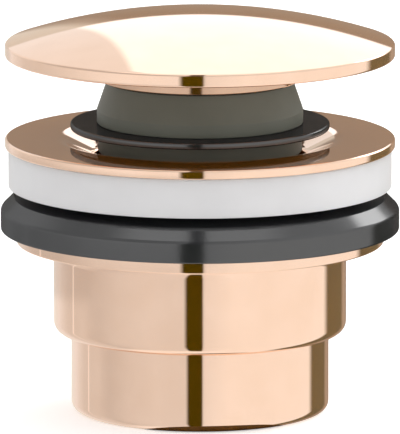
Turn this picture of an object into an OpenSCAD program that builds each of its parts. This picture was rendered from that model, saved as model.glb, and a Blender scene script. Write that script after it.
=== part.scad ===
// Press-to-close basin waste: a domed plug over a flat flange, a threaded stem that passes
// through the basin's hole, and a lower body that screws up the stem to clamp the basin.
// Millimetres. +Z is up and the origin is the centre of the tail's lower end.
// The plug is drawn open, and the lower body fully screwed up with no basin between the washers.

/* [Cap] */
// Outer diameter of the domed cap
cap_d = 63.3; // [56:0.1:72]
// Rise of the dome above its rim
cap_rise = 5.15; // [3:0.05:8]
// Height of the cap's upright rim
cap_rim_h = 2.1; // [1.5:0.1:4]
// Rounding of the cap's upper and lower edges
cap_edge_r = 0.4; // [0.2:0.05:0.7]
// Diameter of the boss under the cap
boss_d = 32.5; // [24:0.1:36]
// Height of the boss under the cap
boss_h = 3.7; // [2:0.1:8]

/* [Plug hub and seal] */
// Diameter of the hub's upright band, just above the seal
hub_d = 33.5; // [30:0.1:34]
// Height of the hub's upright band
hub_band_h = 2.15; // [1:0.05:4]
// Height of the hub's cone
hub_cone_h = 4.65; // [3:0.05:8]
// Slope of the cone's side from upright, in degrees
hub_cone_angle = 19; // [8:0.5:24]
// Thickness of the hub's moulded walls
hub_wall = 1.8; // [1.2:0.1:2.4]
// Diameter of the hub's core below the seal
core_d = 26.4; // [24:0.1:29]
// Height of the keeper ring that holds the seal from below
keeper_h = 3.4; // [2:0.1:3.8]
// Length of the hub below the seal
skirt_h = 11.4; // [9:0.1:12]
// Number of guide ribs round the core
rib_count = 8; // [4:1:10]
// Thickness of a guide rib
rib_w = 1.6; // [1:0.1:2.4]
// Radial clearance of the keeper ring and the guide ribs in the throat
rib_gap = 0.6; // [0.3:0.05:1]
// Outer diameter of the seal's lip
seal_d = 42.1; // [38:0.1:46]
// Thickness of the seal's lip
seal_t = 1.1; // [0.8:0.05:2]
// Height of the open seal's lip above its seat, which sets the plug's travel
seal_lift = 2.2; // [1.2:0.05:3.5]
// Thickness of the soft washer between the cap's boss and the hub
cap_gasket_t = 0.3; // [0.2:0.05:1]

/* [Flange and stem] */
// Outer diameter of the flange
flange_d = 63.4; // [58:0.1:72]
// Thickness of the flange
flange_t = 1.5; // [1.2:0.1:2.5]
// Diameter at which the flat flange breaks into the seal's seat
seat_d = 45.3; // [44:0.1:50]
// Slope of the conical seat towards the throat, in degrees
seat_angle = 25.5; // [16:0.5:27]
// Rounding where the flat flange breaks into the seat
seat_break_r = 4; // [1:0.1:5]
// Diameter of the throat
throat_d = 34.4; // [32:0.1:35]
// Rounding where the seat runs into the throat
throat_edge_r = 1; // [0.5:0.1:1.5]
// Outside diameter of the threaded stem
stem_d = 41.9; // [40:0.1:43.5]
// Bore of the stem
stem_bore_d = 36.6; // [36.4:0.1:37.4]
// Bevel between the flange's underside and the stem
root_bevel = 1; // [0.4:0.1:2]
// Height of the crossbar's top below the flange's rim
crossbar_drop = 18; // [17:0.1:20]
// Height of the crossbar's boss
crossbar_h = 4.4; // [3:0.1:6]
// Thickness of a crossbar arm
arm_w = 2.6; // [1.8:0.1:4]

/* [Washers] */
// Outer diameter of the soft washer under the flange
washer_d = 62.3; // [56:0.1:70]
// Thickness of that washer at its outer edge
washer_h = 6.4; // [3:0.1:9]
// Outer diameter of the gasket under the basin
gasket_d = 64.8; // [56:0.1:70]
// Height of the gasket's upright outer side
gasket_side_h = 3.45; // [2:0.05:5]
// Size of the gasket's bevel
gasket_bevel = 2.05; // [1:0.05:3.5]
// Height of the gasket's neck, above its flat top
gasket_neck_h = 1.45; // [0.8:0.05:3]
// Diameter of the gasket's neck, which centres the stem in the basin's hole
gasket_neck_d = 44.4; // [43.6:0.1:46]
// Thickness of the slip washer between the gasket and the collar
slip_t = 0.8; // [0.4:0.1:1.4]

/* [Lower body] */
// Outer diameter of the collar
collar_d = 59.7; // [54:0.1:66]
// Thickness of the collar
collar_t = 2; // [1.4:0.1:4]
// Outer diameter of the sleeve
sleeve_d = 47.6; // [46.5:0.1:50]
// Height of the sleeve below the collar
sleeve_h = 14.75; // [14:0.05:18]
// Rounding at the foot of the sleeve
sleeve_edge_r = 1.75; // [0.8:0.05:2]
// Concave rounding between the collar and the sleeve
collar_fillet_r = 2; // [1:0.1:2.8]
// Thickness of the ledge between the sleeve's thread and the tail's bore
ledge_t = 1.8; // [1.2:0.1:3]
// Outer diameter of the tail, which takes the trap's nut
tail_d = 41.9; // [40:0.1:43]
// Length of the tail
tail_h = 13; // [10:0.1:30]
// Rounding at the tail's lower end
tail_edge_r = 1.6; // [0.5:0.05:1.8]
// Bore of the tail
tail_bore_d = 36; // [34:0.1:36.2]

/* [Cartridge] */
// Thread diameter of the cartridge's barrel
barrel_d = 12; // [11.4:0.1:13]
// Diameter of the barrel's upper guide
guide_d = 13.2; // [12.6:0.1:13.6]
// Bore of the barrel's chamber
chamber_d = 9.4; // [9:0.1:9.8]
// Depth of the barrel below the crossbar's top
barrel_drop = 11; // [10.5:0.1:13]
// Height of the barrel's guide above its hexagon
guide_h = 12; // [10:0.1:13]
// Size across the flats of the barrel's hexagon and of its nut
hex_af = 16; // [14.5:0.5:17]
// Height of the barrel's hexagon
hex_h = 3; // [2:0.1:4]
// Height of the barrel's nut
nut_h = 3.6; // [2.5:0.1:4]
// Diameter of the plunger's rod
rod_d = 6; // [5.4:0.1:6.4]
// Diameter of the stud that joins the cap to the plunger
stud_d = 5; // [4:0.1:5.4]
// Wire diameter of the return spring
wire_d = 0.9; // [0.6:0.05:1.2]
// Number of the spring's turns
spring_turns = 6; // [4:1:8]
// Number of teeth on the ratchet cam, the plunger's crown and the ratchet sleeve
tooth_count = 6; // [4:1:8]

/* [Fits] */
// Gap between faces of parts that move apart or turn on each other
turn_gap = 0.1; // [0.05:0.05:0.3]
// Gap left between the two big washers when there is no basin
rest_gap = 0.2; // [0.1:0.05:0.5]
// Gap left between parts that are screwed or pressed together
fit_gap = 0.02; // [0.01:0.01:0.05]
// Radial running clearance of the plunger in its guide
run_gap = 0.05; // [0.03:0.01:0.1]
// Radial clearance between the stem and what slides along it
stem_gap = 0.15; // [0.1:0.05:0.4]

/* [Hidden] */
$fn = 96;
eps = 0.01;
// A cut starts this far outside the face it opens
over = 1;

// Radii
cap_r = cap_d / 2;
boss_r = boss_d / 2;
hub_r = hub_d / 2;
core_r = core_d / 2;
seal_r = seal_d / 2;
flange_r = flange_d / 2;
throat_r = throat_d / 2;
stem_r = stem_d / 2;
bore_r = stem_bore_d / 2;
washer_r = washer_d / 2;
gasket_r = gasket_d / 2;
collar_r = collar_d / 2;
sleeve_r = sleeve_d / 2;
tail_r = tail_d / 2;
tail_bore_r = tail_bore_d / 2;
barrel_r = barrel_d / 2;
guide_r = guide_d / 2;
chamber_r = chamber_d / 2;
rod_r = rod_d / 2;
stud_r = stud_d / 2;
wire_r = wire_d / 2;
clear_r = stem_r + stem_gap;
hex_r = hex_af / sqrt(3);

// Heights from the tail's lower end up to the flange
collar_z0 = tail_h + sleeve_h;
collar_z1 = collar_z0 + collar_t;
gasket_z0 = collar_z1 + turn_gap;
bevel_z0 = gasket_z0 + gasket_side_h;
bevel_z1 = bevel_z0 + gasket_bevel;
gasket_z1 = bevel_z1 + gasket_neck_h;
washer_z0 = gasket_z1 + rest_gap;
rim_z0 = washer_z0 + washer_h;
rim_z1 = rim_z0 + flange_t;
ledge_z = tail_h + ledge_t;
stem_foot_gap = 0.3;
stem_z0 = ledge_z + stem_foot_gap;
throat_h = 2;

// Heights of the plug, open
seal_z0 = seat_z(seal_r) + seal_lift;
seal_z1 = seal_z0 + seal_t;
band_z1 = seal_z1 + hub_band_h;
hub_z1 = band_z1 + hub_cone_h;
boss_z0 = hub_z1 + cap_gasket_t;
cap_z0 = boss_z0 + boss_h;
cap_z1 = cap_z0 + cap_rim_h;
hub_z0 = seal_z0 - skirt_h;
keeper_z0 = seal_z0 - keeper_h;
keeper_r = throat_r - rib_gap;
rib_step = 0.2;
rib_r = keeper_r - rib_step;
roof_z = hub_z1 - hub_wall;
hub_top_r = hub_r - hub_cone_h * tan(hub_cone_angle);
seal_seat_r = core_r + 0.3;
neck_r = rod_r + 0.8;
core_lead = 1;
stud_depth = 6;
stud_reach = 8;
slip_reach = 2;
slip_r = sleeve_r + slip_reach;

// The seal's lip stops this far above its seat when the plug is shut
shut_gap = 0.2;
travel = seal_lift - shut_gap;

// Heights of the cartridge
cross_z1 = rim_z1 - crossbar_drop;
cross_z0 = cross_z1 - crossbar_h;
cross_boss_r = hex_r - 0.6;
cart_washer_t = 0.6;
lock_washer_t = 0.5;
hex_z0 = cross_z1 + cart_washer_t;
hex_z1 = hex_z0 + hex_h;
barrel_z0 = cross_z1 - barrel_drop;
barrel_z1 = hex_z1 + guide_h;
nut_z1 = cross_z0 - lock_washer_t;
nut_z0 = nut_z1 - nut_h;
end_plug_h = 2;
chamber_above_hex = 3.2;
chamber_z1 = hex_z1 + chamber_above_hex;
crown_h = 2.4;
crown_z1 = chamber_z1 - 2 * turn_gap;
crown_z0 = crown_z1 - crown_h;
cam_h = 3.4;
cam_z1 = crown_z0 - 2 * turn_gap;
cam_z0 = cam_z1 - cam_h;
tooth_h = 0.8;
key_w = 1.2;
key_r = chamber_r - 0.75;
crown_r = key_r - 0.35;
sleeve_wall_z0 = crown_z1 - travel - crown_h - tooth_h;
spring_z0 = barrel_z0 + end_plug_h;
shoulder_r = guide_r - 1.2;
shoulder_h = 2;
o_ring_r = 0.65;
o_ring_drop = 4;
o_ring_z = barrel_z1 - o_ring_drop;

// Height of the conical seat at radius r
function seat_z(r) = rim_z1 - (seat_d / 2 - r) * tan(seat_angle);

// Ring with a plain rectangular section
module ring(r0, r1, z0, z1) {
    rotate_extrude()
        translate([r0, z0])
            square([r1 - r0, z1 - z0]);
}

// Rectangle whose outer corners are rounded by f0 below and, if f1 isn't 0, by f1 above
module rounded_section(r0, r1, z0, z1, f0, f1) {
    intersection() {
        translate([r0, z0])
            square([r1 - r0, z1 - z0]);
        union() {
            translate([r0, z0])
                square([r1 - r0 - f0, f0]);
            translate([r0, z0 + f0])
                square([r1 - r0, z1 - z0 - f0 - f1]);
            translate([r1 - f0, z0 + f0])
                circle(f0);
            if (f1 > 0) {
                translate([r1 - f1, z1 - f1])
                    circle(f1);
                translate([r0, z1 - f1])
                    square([r1 - r0 - f1, f1]);
            }
        }
    }
}

// Sloping saw teeth on a ring, rising from z by tooth_h
module saw_teeth(r0, r1, z) {
    half_w = r1 * tan(180 / tooth_count);
    intersection() {
        ring(r0, r1, z, z + tooth_h);
        for (i = [0:tooth_count - 1])
            rotate([90, 0, 90 + i * 360 / tooth_count])
                linear_extrude(r1 + 1)
                    polygon([[-half_w, z], [half_w, z], [half_w, z + tooth_h]]);
    }
}

// Domed cap: a shallow spherical top, an upright rim and a round boss with the stud's hole
module plug_cap() {
    dome_r = (cap_r * cap_r + cap_rise * cap_rise) / (2 * cap_rise);
    dome_z = cap_z1 + cap_rise - dome_r;
    edge_x = cap_r - cap_edge_r;
    edge_z = dome_z + sqrt(pow(dome_r - cap_edge_r, 2) - pow(edge_x, 2));
    touch_x = edge_x * dome_r / (dome_r - cap_edge_r);
    color([0.93, 0.74, 0.62])
        difference() {
            rotate_extrude($fn = 180)
                union() {
                    intersection() {
                        translate([0, dome_z])
                            circle(dome_r);
                        translate([0, cap_z0])
                            square([touch_x, dome_z + dome_r - cap_z0 + 1]);
                    }
                    translate([edge_x, edge_z])
                        circle(cap_edge_r);
                    rounded_section(0, cap_r, cap_z0, edge_z, cap_edge_r, 0);
                    translate([0, boss_z0])
                        square([boss_r, boss_h + eps]);
                }
            translate([0, 0, boss_z0 - over])
                cylinder(r = stud_r + fit_gap, h = stud_depth + over);
        }
}

// Threaded stud between the cap and the plunger
module cap_stud() {
    color([0.75, 0.72, 0.6])
        translate([0, 0, boss_z0 - stud_reach])
            cylinder(r = stud_r, h = stud_reach + stud_depth - fit_gap);
}

// Soft washer that keeps water out of the stud's thread
module cap_gasket() {
    color([0.2, 0.13, 0.1])
        ring(stud_r + 2 * rod_r / 3, hub_top_r - 0.4, hub_z1, boss_z0);
}

// Outline of the hub: cone, band, groove for the seal, keeper ring and core
module hub_section() {
    polygon([[0, hub_z0], [core_r - core_lead, hub_z0], [core_r, hub_z0 + core_lead],
        [core_r, keeper_z0 - (keeper_r - core_r)], [keeper_r, keeper_z0], [keeper_r, seal_z0],
        [seal_seat_r, seal_z0], [seal_seat_r, seal_z1], [hub_r, seal_z1], [hub_r, band_z1],
        [hub_top_r, hub_z1], [0, hub_z1]]);
}

// Grey hub: a moulded cone that is hollow below, with a tower round the barrel and guide ribs
module plug_hub() {
    tower_r = guide_r + 0.4;
    tower_drop = 3;
    tower_z0 = hub_z0 + tower_drop;
    inner_r = core_r - hub_wall;
    rib_lead = rib_r - core_r;
    web_w = hub_wall * 2 / 3;
    color([0.36, 0.36, 0.33])
        difference() {
            union() {
                difference() {
                    rotate_extrude()
                        hub_section();
                    translate([0, 0, hub_z0 - over])
                        cylinder(r = inner_r, h = roof_z - hub_z0 + over);
                }
                ring(tower_r, tower_r + hub_wall, tower_z0, roof_z + eps);
                for (i = [0:rib_count - 1])
                    rotate(360 * (i + 0.5) / rib_count)
                        rotate([90, 0, 0])
                            linear_extrude(rib_w, center = true)
                                polygon([[core_r - core_lead, hub_z0 + core_lead],
                                    [core_r, hub_z0 + core_lead], [rib_r, hub_z0 + core_lead + rib_lead],
                                    [rib_r, keeper_z0 + core_lead],
                                    [core_r - core_lead, keeper_z0 + core_lead]]);
                for (i = [0:3])
                    rotate(45 + 90 * i)
                        translate([tower_r + hub_wall / 2, -web_w / 2, tower_z0 + web_w])
                            cube([inner_r - tower_r, web_w, roof_z - tower_z0 - web_w + eps]);
            }
            translate([0, 0, roof_z - over])
                cylinder(r = neck_r + fit_gap, h = hub_wall + 2 * over);
        }
}

// Black rubber ring whose lip shuts against the flange's conical seat
module plug_seal() {
    color([0.16, 0.16, 0.17])
        rotate_extrude()
            rounded_section(seal_seat_r + fit_gap, seal_r, seal_z0, seal_z1, 0.25, 0.15);
}

// Sliding plunger: neck in the hub, shoulder, rod in the barrel, and toothed crown with keys
module plunger() {
    color([0.8, 0.76, 0.62])
        difference() {
            union() {
                translate([0, 0, roof_z - shoulder_h])
                    cylinder(r = shoulder_r, h = shoulder_h);
                translate([0, 0, roof_z - eps])
                    cylinder(r = neck_r, h = hub_wall);
                translate([0, 0, crown_z1 - eps])
                    cylinder(r = rod_r, h = roof_z - crown_z1);
                translate([0, 0, crown_z0 + tooth_h])
                    cylinder(r = crown_r, h = crown_h - tooth_h);
                translate([0, 0, 2 * crown_z0 + tooth_h * 2])
                    mirror([0, 0, 1])
                        saw_teeth(rod_r / 2, crown_r, crown_z0 + tooth_h - eps);
                for (i = [0:3])
                    rotate(90 * i)
                        translate([rod_r - 1, -key_w / 2, crown_z0 + tooth_h])
                            cube([key_r - rod_r + 1, key_w, crown_h - tooth_h]);
            }
            translate([0, 0, boss_z0 - stud_reach - over])
                cylinder(r = stud_r + fit_gap, h = stud_reach + 2 * over);
        }
}

// Cam with saw teeth that steps round when the plunger is pressed
module ratchet_cam() {
    color([0.85, 0.85, 0.8])
        difference() {
            union() {
                translate([0, 0, cam_z0])
                    cylinder(r = crown_r, h = cam_h - tooth_h);
                saw_teeth(rod_r / 2, crown_r, cam_z1 - tooth_h - eps);
                translate([0, 0, cam_z0])
                    cylinder(r = key_r, h = min(1, sleeve_wall_z0 - cam_z0 - turn_gap));
            }
            translate([0, 0, cam_z0 - over])
                cylinder(r = rod_r / 2, h = cam_h + 2 * over);
        }
}

// Fixed sleeve in the chamber: four slots for the plunger's keys and saw teeth along its foot
module ratchet_sleeve() {
    slot_r = key_r + 2 * run_gap;
    color([0.75, 0.75, 0.72])
        difference() {
            ring(crown_r + 3 * run_gap, chamber_r - fit_gap, sleeve_wall_z0, chamber_z1 - fit_gap);
            for (i = [0:3])
                rotate(90 * i)
                    translate([0, -key_w / 2 - run_gap, sleeve_wall_z0 - over])
                        cube([slot_r, key_w + 2 * run_gap, chamber_z1 - sleeve_wall_z0 + 2 * over]);
            translate([0, 0, -eps])
                saw_teeth(crown_r, chamber_r, sleeve_wall_z0);
        }
}

// Points of the spring's wire: rings of wire_sides points along a helix with closed ends
spring_r = crown_r - wire_r - 0.1;
wire_sides = 8;
ring_step = 24;
spring_rings = round(360 * spring_turns / ring_step);
closed_share = 0.16;
closed_slope = 0.4;
open_slope = (1 - 2 * closed_share * closed_slope) / (1 - 2 * closed_share);
function spring_rise(t) =
    t < closed_share ? t * closed_slope
    : t > 1 - closed_share ? 1 - (1 - t) * closed_slope
    : closed_share * closed_slope + (t - closed_share) * open_slope;
function spring_point(i, j, z0, z1) = let (
        t = i / spring_rings,
        turn = i * ring_step,
        side = j * 360 / wire_sides,
        r = spring_r + wire_r * cos(side))
    [r * cos(turn), r * sin(turn), z0 + (z1 - z0) * spring_rise(t) + wire_r * sin(side)];
function quad_faces(i, j) = let (
        a = i * wire_sides + j,
        b = i * wire_sides + (j + 1) % wire_sides)
    [[a, b, b + wire_sides], [a, b + wire_sides, a + wire_sides]];

// Compression spring between the end plug and the cam
module return_spring() {
    z0 = spring_z0 + wire_r;
    z1 = cam_z0 - turn_gap - wire_r;
    last = spring_rings * wire_sides;
    points = [for (i = [0:spring_rings]) for (j = [0:wire_sides - 1]) spring_point(i, j, z0, z1)];
    walls = [for (i = [0:spring_rings - 1]) for (j = [0:wire_sides - 1]) for (f = quad_faces(i, j)) f];
    caps = [[for (j = [wire_sides - 1:-1:0]) j], [for (j = [0:wire_sides - 1]) last + j]];
    color([0.7, 0.72, 0.74])
        polyhedron(points, concat(walls, caps));
}

// Threaded barrel with a hexagon: a chamber below and the plunger's guide above
module cartridge_barrel() {
    color([0.82, 0.72, 0.5])
        difference() {
            union() {
                translate([0, 0, barrel_z0])
                    cylinder(r = barrel_r, h = hex_z0 - barrel_z0 + eps);
                translate([0, 0, hex_z0])
                    cylinder(r = hex_r, h = hex_h, $fn = 6);
                rotate_extrude()
                    polygon([[0, hex_z1 - eps], [guide_r, hex_z1 - eps], [guide_r, barrel_z1 - 1],
                        [guide_r - 1, barrel_z1], [0, barrel_z1]]);
            }
            translate([0, 0, barrel_z0 - over])
                cylinder(r = chamber_r, h = chamber_z1 - barrel_z0 + over);
            translate([0, 0, chamber_z1 - over])
                cylinder(r = rod_r + run_gap, h = barrel_z1 - chamber_z1 + 2 * over);
            ring(rod_r, rod_r + run_gap + 2 * o_ring_r + fit_gap, o_ring_z - o_ring_r - fit_gap,
                o_ring_z + o_ring_r + fit_gap);
        }
}

// Ring of round section that wipes the rod inside the guide
module rod_o_ring() {
    color([0.12, 0.12, 0.12])
        rotate_extrude()
            translate([rod_r + run_gap + o_ring_r, o_ring_z])
                circle(o_ring_r);
}

// Fibre washer between the barrel's hexagon and the crossbar
module cartridge_washer() {
    color([0.6, 0.25, 0.2])
        ring(barrel_r + fit_gap, hex_af / 2 - 0.2, cross_z1, hex_z0);
}

// Toothed washer under the nut
module lock_washer() {
    tooth = 0.8;
    color([0.65, 0.66, 0.68])
        difference() {
            ring(barrel_r + fit_gap, hex_af / 2, nut_z1, cross_z0);
            for (i = [0:11])
                rotate(30 * i)
                    translate([hex_af / 2 - tooth, -tooth / 2, nut_z1 - over])
                        cube([2 * tooth, tooth, lock_washer_t + 2 * over]);
        }
}

// Hexagonal nut that holds the barrel in the crossbar
module cartridge_nut() {
    corner_h = 0.7;
    color([0.82, 0.72, 0.5])
        difference() {
            intersection() {
                translate([0, 0, nut_z0])
                    cylinder(r = hex_r, h = nut_h, $fn = 6);
                rotate_extrude()
                    polygon([[0, nut_z0], [hex_af / 2, nut_z0], [hex_r, nut_z0 + corner_h],
                        [hex_r, nut_z1 - corner_h], [hex_af / 2, nut_z1], [0, nut_z1]]);
            }
            translate([0, 0, nut_z0 - over])
                cylinder(r = barrel_r + fit_gap, h = nut_h + 2 * over);
        }
}

// Screwed plug that closes the barrel and carries the spring
module end_plug() {
    slot_w = 1.2;
    slot_h = 0.8;
    drain_r = 1;
    color([0.82, 0.72, 0.5])
        difference() {
            translate([0, 0, barrel_z0])
                cylinder(r = chamber_r - fit_gap, h = end_plug_h);
            translate([-chamber_r, -slot_w / 2, barrel_z0 - over])
                cube([2 * chamber_r, slot_w, slot_h + over]);
            translate([0, 0, barrel_z0 - over])
                cylinder(r = drain_r, h = end_plug_h + 2 * over);
        }
}

// Soft rounding where the flat flange breaks into the seat
module seat_break() {
    slide = seat_break_r * tan(seat_angle / 2);
    corner_x = seat_d / 2;
    intersection() {
        translate([corner_x + slide, rim_z1 - seat_break_r])
            circle(seat_break_r, $fn = 360);
        polygon([[corner_x - slide * cos(seat_angle), rim_z1 - slide * sin(seat_angle)],
            [corner_x, rim_z1 + slide], [corner_x + slide, rim_z1], [corner_x, rim_z1 - flange_t / 2]]);
    }
}

// Outline of the flange and its stem, with a rounded rim, a conical seat and a rounded throat
module flange_section() {
    rim_r = 0.5;
    foot_r = 0.4;
    stem_lead = 0.8;
    lip_x = throat_r + throat_edge_r;
    lip_z = seat_z(lip_x) - throat_edge_r / cos(seat_angle);
    slide = seat_break_r * tan(seat_angle / 2);
    seat_break();
    translate([flange_r - rim_r, rim_z1 - rim_r])
        circle(rim_r);
    translate([flange_r - foot_r, rim_z0 + foot_r])
        circle(foot_r);
    translate([lip_x, lip_z])
        circle(throat_edge_r);
    polygon([[throat_r, lip_z],
        [lip_x - throat_edge_r * sin(seat_angle), lip_z + throat_edge_r * cos(seat_angle)],
        [seat_d / 2 - slide * cos(seat_angle), rim_z1 - slide * sin(seat_angle)],
        [seat_d / 2 + slide, rim_z1], [flange_r - rim_r, rim_z1], [flange_r, rim_z1 - rim_r],
        [flange_r, rim_z0 + foot_r], [flange_r - foot_r, rim_z0], [stem_r + root_bevel, rim_z0],
        [stem_r, rim_z0 - root_bevel], [stem_r, stem_z0 + stem_lead], [stem_r - stem_lead, stem_z0],
        [bore_r, stem_z0], [bore_r, lip_z - throat_h - (bore_r - throat_r)], [throat_r, lip_z - throat_h]]);
}

// Flange, threaded stem and the crossbar that carries the cartridge, cast in one
module waste_flange() {
    arm_h = crossbar_h - 1;
    color([0.93, 0.74, 0.62])
        difference() {
            union() {
                rotate_extrude($fn = 180)
                    flange_section();
                translate([0, 0, cross_z0])
                    cylinder(r = cross_boss_r, h = crossbar_h);
                for (i = [0:3])
                    rotate(90 * i)
                        translate([cross_boss_r - 1, -arm_w / 2, cross_z0 + 0.5])
                            cube([bore_r - cross_boss_r + 1.5, arm_w, arm_h]);
            }
            translate([0, 0, cross_z0 - over])
                cylinder(r = barrel_r + fit_gap, h = crossbar_h + 2 * over);
        }
}

// Soft white washer between the flange and the basin, bevelled inside to clear the flange's root
module flange_washer() {
    top_z = rim_z0 - fit_gap;
    color([0.93, 0.93, 0.92])
        difference() {
            rotate_extrude($fn = 180)
                rounded_section(clear_r, washer_r, washer_z0, top_z, 0.5, 0.3);
            translate([0, 0, top_z - root_bevel])
                cylinder(r1 = clear_r, r2 = clear_r + root_bevel + eps, h = root_bevel + eps);
        }
}

// Black rubber gasket: bevelled shoulder, flat top, low neck, and a recess below for the slip washer
module basin_gasket() {
    top_r = gasket_r - gasket_bevel;
    gasket_neck_r = gasket_neck_d / 2;
    color([0.15, 0.15, 0.16])
        rotate_extrude($fn = 180)
            polygon([[clear_r, gasket_z0 + slip_t], [slip_r + fit_gap, gasket_z0 + slip_t],
                [slip_r + fit_gap, gasket_z0], [gasket_r, gasket_z0], [gasket_r, bevel_z0],
                [top_r, bevel_z1], [gasket_neck_r, bevel_z1], [gasket_neck_r, gasket_z1],
                [clear_r, gasket_z1]]);
}

// Slip washer that lets the collar turn under the gasket
module slip_washer() {
    color([0.85, 0.85, 0.82])
        ring(clear_r, slip_r, gasket_z0, gasket_z0 + slip_t - fit_gap);
}

// Section of the concave rounding between the collar and the sleeve
module collar_fillet_section() {
    difference() {
        translate([sleeve_r - 1, collar_z0 - collar_fillet_r])
            square([collar_fillet_r + 1, collar_fillet_r + eps]);
        translate([sleeve_r + collar_fillet_r, collar_z0 - collar_fillet_r])
            circle(collar_fillet_r);
    }
}

// Lower body: collar, sleeve with the female thread, ledge and tail
module lower_body() {
    collar_edge = 0.25;
    lead = 0.8;
    color([0.93, 0.74, 0.62])
        difference() {
            union() {
                rotate_extrude($fn = 180)
                    rounded_section(tail_bore_r, collar_r, collar_z0, collar_z1, collar_edge, collar_edge);
                rotate_extrude($fn = 180)
                    rounded_section(tail_bore_r, sleeve_r, tail_h, collar_z0 + eps, sleeve_edge_r, 0);
                rotate_extrude($fn = 180)
                    rounded_section(tail_bore_r, tail_r, 0, ledge_z, tail_edge_r, 0);
                rotate_extrude($fn = 180)
                    collar_fillet_section();
            }
            translate([0, 0, ledge_z])
                cylinder(r = clear_r, h = collar_z1 - ledge_z + over);
            translate([0, 0, collar_z1 - lead])
                cylinder(r1 = clear_r - eps, r2 = clear_r + lead, h = lead + eps);
        }
}

plug_cap();
cap_stud();
cap_gasket();
plug_hub();
plug_seal();
plunger();
ratchet_cam();
ratchet_sleeve();
return_spring();
cartridge_barrel();
rod_o_ring();
cartridge_washer();
lock_washer();
cartridge_nut();
end_plug();
waste_flange();
flange_washer();
basin_gasket();
slip_washer();
lower_body();
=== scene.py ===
# %% [markdown]
# # A press-to-close basin waste, dressed for its picture
# The object is the brass fitting that sits in the hole of a washbasin: a domed plug that is pressed
# shut and pressed open, a flange, two soft washers that clamp the basin, and a lower body that screws up
# the stem from below. Every piece has its real size in the frame already. This script draws eight of
# them again with finer shapes, gives all of them their finish, and adds a small photographic tent for
# the metal to reflect.

# %% Load the frame
import math

import bmesh
import bpy
from mathutils import Matrix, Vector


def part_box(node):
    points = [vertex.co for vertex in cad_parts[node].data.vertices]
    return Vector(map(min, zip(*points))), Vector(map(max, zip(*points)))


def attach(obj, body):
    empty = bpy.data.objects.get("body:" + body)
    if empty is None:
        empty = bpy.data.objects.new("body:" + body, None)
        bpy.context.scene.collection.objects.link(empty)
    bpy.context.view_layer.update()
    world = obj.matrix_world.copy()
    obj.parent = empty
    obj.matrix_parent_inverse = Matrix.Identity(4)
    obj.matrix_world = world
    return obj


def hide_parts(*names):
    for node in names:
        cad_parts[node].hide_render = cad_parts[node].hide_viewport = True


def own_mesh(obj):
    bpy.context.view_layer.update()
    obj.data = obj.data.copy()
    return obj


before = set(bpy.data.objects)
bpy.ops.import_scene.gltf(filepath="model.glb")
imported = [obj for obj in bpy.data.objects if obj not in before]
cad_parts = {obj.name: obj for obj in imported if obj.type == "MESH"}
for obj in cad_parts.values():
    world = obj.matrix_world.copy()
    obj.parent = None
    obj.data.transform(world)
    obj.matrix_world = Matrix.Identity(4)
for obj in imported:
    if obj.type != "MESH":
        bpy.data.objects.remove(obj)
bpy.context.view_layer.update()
MM = 0.001

# %% [markdown]
# ## The camera
# The picture was taken from far away with a long lens, about ten degrees above the horizon, so the rims
# are thin ellipses and nearly parallel. The lens follows from the height that the view takes in at that
# distance: a sensor of 36 mm is to that height as the lens is to the distance.

# %% Camera
VIEW_ELEVATION = math.radians(10.2)
VIEW_DISTANCE = 1.8
VIEW_HEIGHT = 70.57 * MM
AIM_HEIGHT = 31.7 * MM
SENSOR = 36.0

camera_data = bpy.data.cameras.new("camera")
camera_data.sensor_width = SENSOR
camera_data.lens = SENSOR * VIEW_DISTANCE / VIEW_HEIGHT
camera_data.clip_start = 0.1
camera_data.clip_end = 20
camera = bpy.data.objects.new("camera", camera_data)
bpy.context.scene.collection.objects.link(camera)
bpy.context.scene.camera = camera
behind_by = VIEW_DISTANCE * math.cos(VIEW_ELEVATION)
above_by = VIEW_DISTANCE * math.sin(VIEW_ELEVATION)
camera.location = (0, -behind_by, AIM_HEIGHT + above_by)
camera.rotation_euler = (math.pi / 2 - VIEW_ELEVATION, 0, 0)
bpy.context.scene.view_settings.view_transform = "Standard"
print("lens", round(camera_data.lens), "mm")

# %% [markdown]
# ## Two helpers for materials
# Colours are written as the hex values that one would read off a picture, and Blender wants them linear,
# so one function turns them. Another adds a node with its settings, and joins or fills its inputs, which
# keeps each material down to a few lines.

# %% Colour and node helpers
def linear(hex_colour):
    """An sRGB colour such as "F2D3BC" as linear red, green and blue, with an alpha of 1."""
    shares = [int(hex_colour[i:i + 2], 16) / 255 for i in (0, 2, 4)]
    return [c / 12.92 if c <= 0.04045 else ((c + 0.055) / 1.055) ** 2.4 for c in shares] + [1.0]


def add_node(material, kind, inputs=None, **settings):
    """Adds a node to a material. Each input is given a value, or the output that feeds it."""
    tree = material.node_tree
    node = tree.nodes.new(kind)
    for name, value in settings.items():
        setattr(node, name, value)
    for socket, value in (inputs or {}).items():
        if isinstance(value, bpy.types.NodeSocket):
            tree.links.new(value, node.inputs[socket])
        else:
            node.inputs[socket].default_value = value
    return node


print("plain white is", linear("FFFFFF"))

# %% [markdown]
# ## How a material starts
# A real surface is never one flat colour, so most materials here start from a noise that spreads soft
# patches of two near shades over the piece. The size of the patches is a real one in millimetres. It is
# turned into the scale of the noise, which counts how often the noise repeats in a metre.

# %% Starting a material
PATCH_DARK, PATCH_LIGHT = 0.3, 0.7


def per_size(millimetres):
    """The scale of a noise whose features are about this large."""
    return 1 / (millimetres * MM)


def set_ramp(node, stops):
    """Gives a colour ramp its stops, each a position and a linear colour."""
    elements = node.color_ramp.elements
    while len(elements) < len(stops):
        elements.new(0.5)
    for element, (position, colour) in zip(elements, stops):
        element.position = position
        element.color = colour


def new_material(name):
    """A material with one node, and that node's output: the Object coordinates in metres."""
    material = bpy.data.materials.new(name)
    material.use_nodes = True
    material.node_tree.nodes.clear()
    return material, add_node(material, "ShaderNodeTexCoord").outputs["Object"]


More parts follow.
